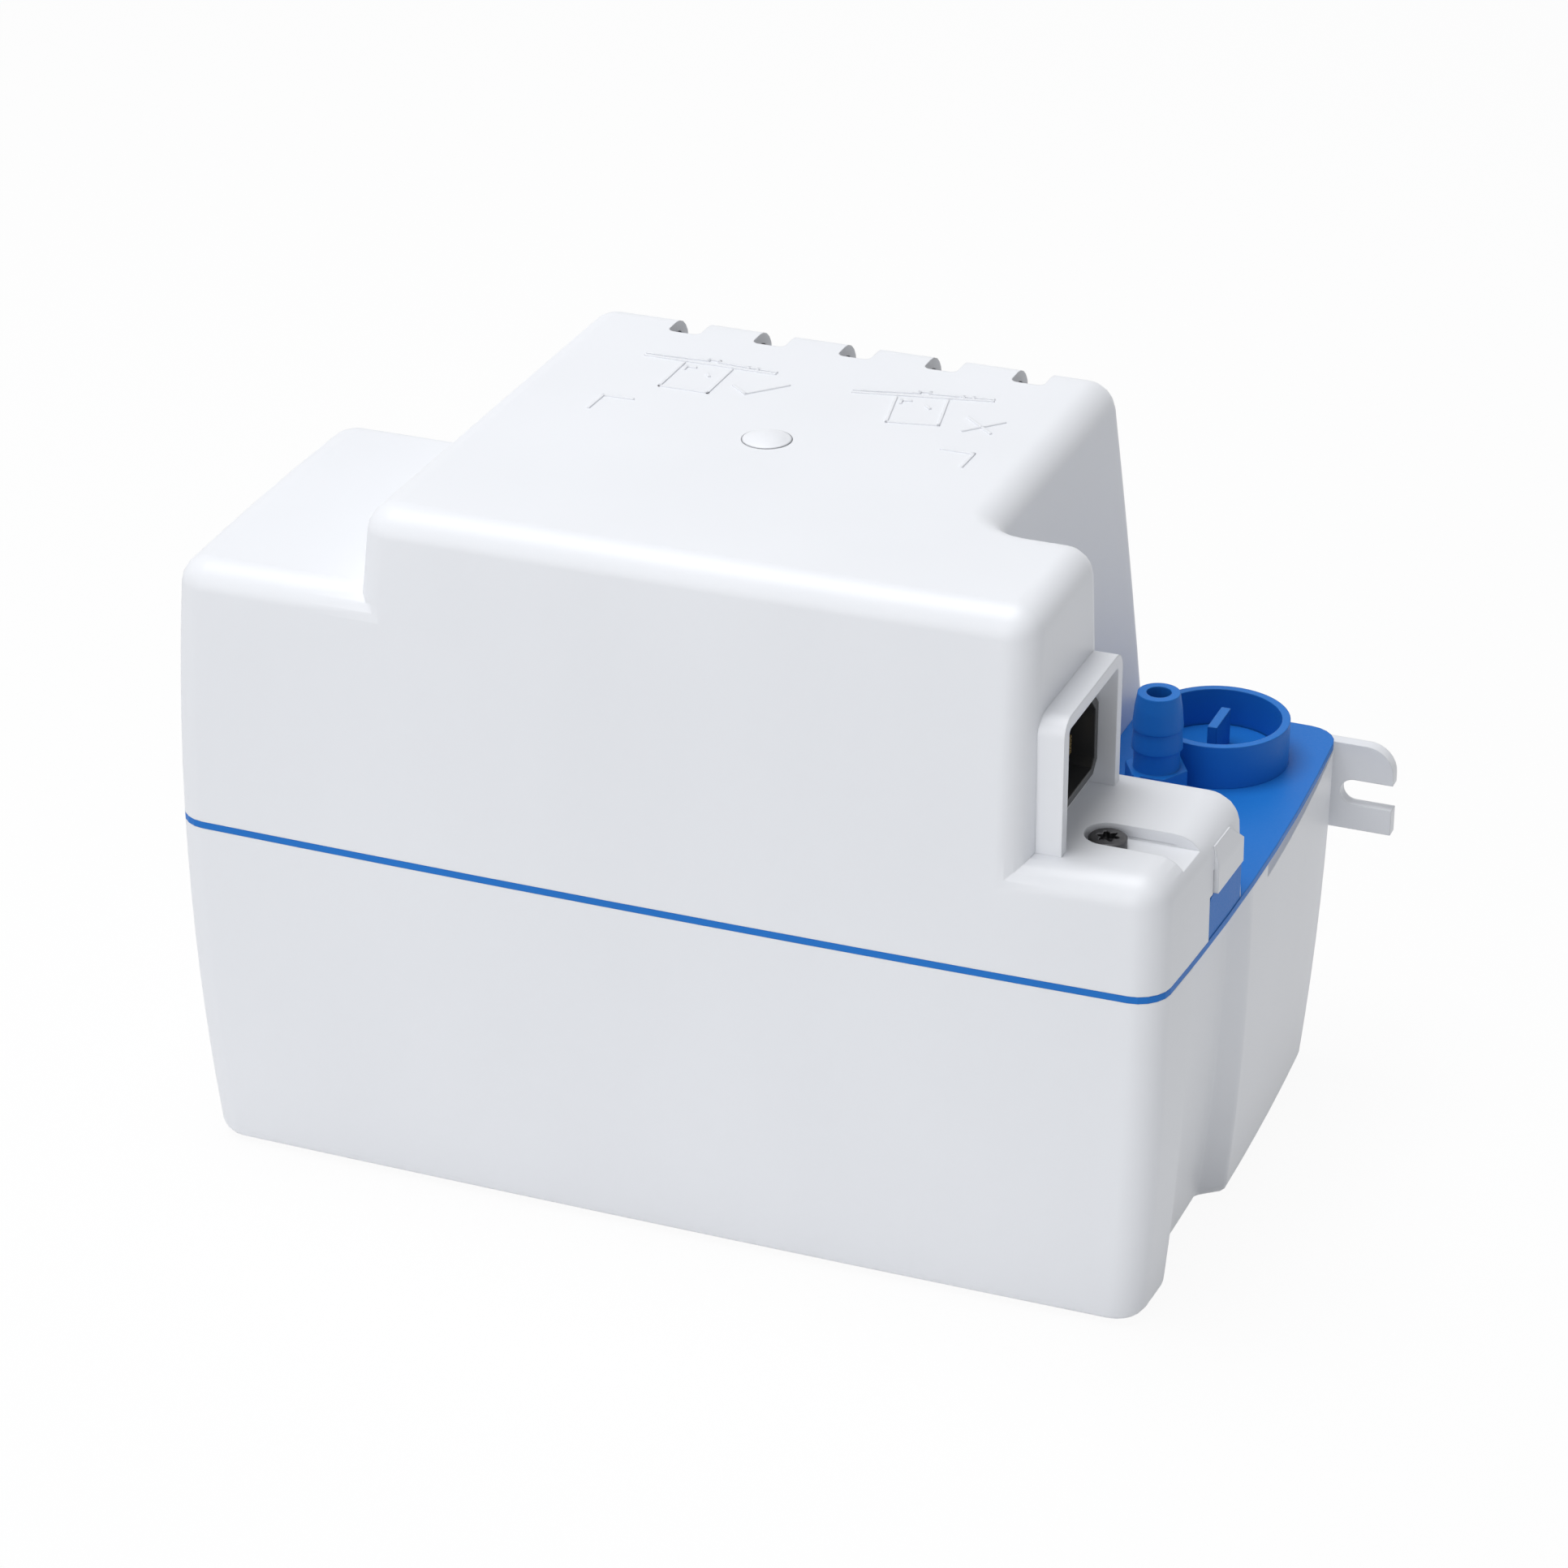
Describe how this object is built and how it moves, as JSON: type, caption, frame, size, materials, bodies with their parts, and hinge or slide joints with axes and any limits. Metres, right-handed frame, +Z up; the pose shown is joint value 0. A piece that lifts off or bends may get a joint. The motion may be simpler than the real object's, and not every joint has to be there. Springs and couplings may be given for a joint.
{
  "type": "condensate pump",
  "caption": "White and blue tank condensate pump with a power inlet, hose barb outlet, plugged drain inlets and wall ears.",
  "frame": {"origin": "middle of the footprint, on the surface that the tank stands on", "axes": "+X along the tank towards the outlet end, -Y is the front, +Z up"},
  "size_m": [0.2466, 0.1336, 0.1597],
  "materials": {
    "white_plastic": "satin moulded",
    "blue_plastic": "satin moulded",
    "black_plastic": "satin moulded",
    "clear_tube": "translucent",
    "seal_rubber": "matt",
    "plated_steel": "zinc plated",
    "black_steel": "black oxide",
    "copper_wire": "enamelled wire",
    "contact_brass": "bright",
    "core_steel": "stacked sheets",
    "stainless": "ground"
  },
  "bodies": {
    "housing": {"tank": "white_plastic", "deck_gasket": "seal_rubber", "deck_plate": "blue_plastic", "inlet_collars": "blue_plastic", "cover": "white_plastic", "cover_screw": "black_steel", "discharge_tube": "clear_tube", "power_inlet": "black_plastic", "inlet_contacts": "contact_brass", "terminal_block": "white_plastic", "terminal_screws": "contact_brass", "motor_core": "core_steel", "coil_bobbin": "white_plastic", "motor_coil": "copper_wire", "shading_rings": "copper_wire", "lower_bracket": "plated_steel", "upper_bracket": "plated_steel", "shaft_bearings": "contact_brass", "motor_screws": "plated_steel", "pump_column": "white_plastic", "pump_casing": "white_plastic", "casing_screws": "plated_steel", "switch_bracket": "white_plastic", "run_switch": "black_plastic", "alarm_switch": "black_plastic", "switch_screws": "plated_steel"},
    "spindle": {"motor_shaft": "stainless", "rotor": "core_steel", "cooling_fan": "white_plastic", "shaft_slinger": "seal_rubber", "impeller": "white_plastic"},
    "float": {"float_block": "white_plastic", "float_rod": "white_plastic", "float_clips": "black_plastic"},
    "run_button": {"run_plunger": "white_plastic"},
    "alarm_button": {"alarm_plunger": "white_plastic"},
    "plug_right": {"inlet_plug_right": "blue_plastic", "plug_seal_right": "seal_rubber"},
    "plug_left": {"inlet_plug_left": "blue_plastic", "plug_seal_left": "seal_rubber"},
    "outlet": {"outlet_valve": "blue_plastic", "outlet_seal": "seal_rubber", "valve_seat": "white_plastic", "check_spring": "stainless"},
    "ball": {"check_ball": "stainless"}
  },
  "joints": [
    {"name": "pump_shaft", "type": "hinge", "parent": "housing", "child": "spindle", "pos_m": [0.01, 0.0044, 0.116], "axis": [0, 0, 1], "continuous": true},
    {"name": "float_slide", "type": "slide", "parent": "housing", "child": "float", "axis": [0, 0, 1], "range_m": [0, 0.03]},
    {"name": "run_button_slide", "type": "slide", "parent": "housing", "child": "run_button", "axis": [-1, 0, 0], "range_m": [0, 0.0012]},
    {"name": "alarm_button_slide", "type": "slide", "parent": "housing", "child": "alarm_button", "axis": [-1, 0, 0], "range_m": [0, 0.0012]},
    {"name": "plug_right_lift", "type": "slide", "parent": "housing", "child": "plug_right", "axis": [0, 0, 1], "range_m": [0, 0.025]},
    {"name": "plug_left_lift", "type": "slide", "parent": "housing", "child": "plug_left", "axis": [0, 0, 1], "range_m": [0, 0.025]},
    {"name": "outlet_turn", "type": "hinge", "parent": "housing", "child": "outlet", "pos_m": [0.0815, 0.0214, 0.08075], "axis": [0, 0, 1], "range_deg": [0, 90]},
    {"name": "check_ball_lift", "type": "slide", "parent": "outlet", "child": "ball", "axis": [0, 0, 1], "range_m": [0, 0.0025], "deforming": ["check_spring"]}
  ],
  "couplings": [
    {"joint": "run_button_slide", "follows": "float_slide", "ratio": 0.04},
    {"joint": "alarm_button_slide", "follows": "float_slide", "ratio": 0.04}
  ]
}
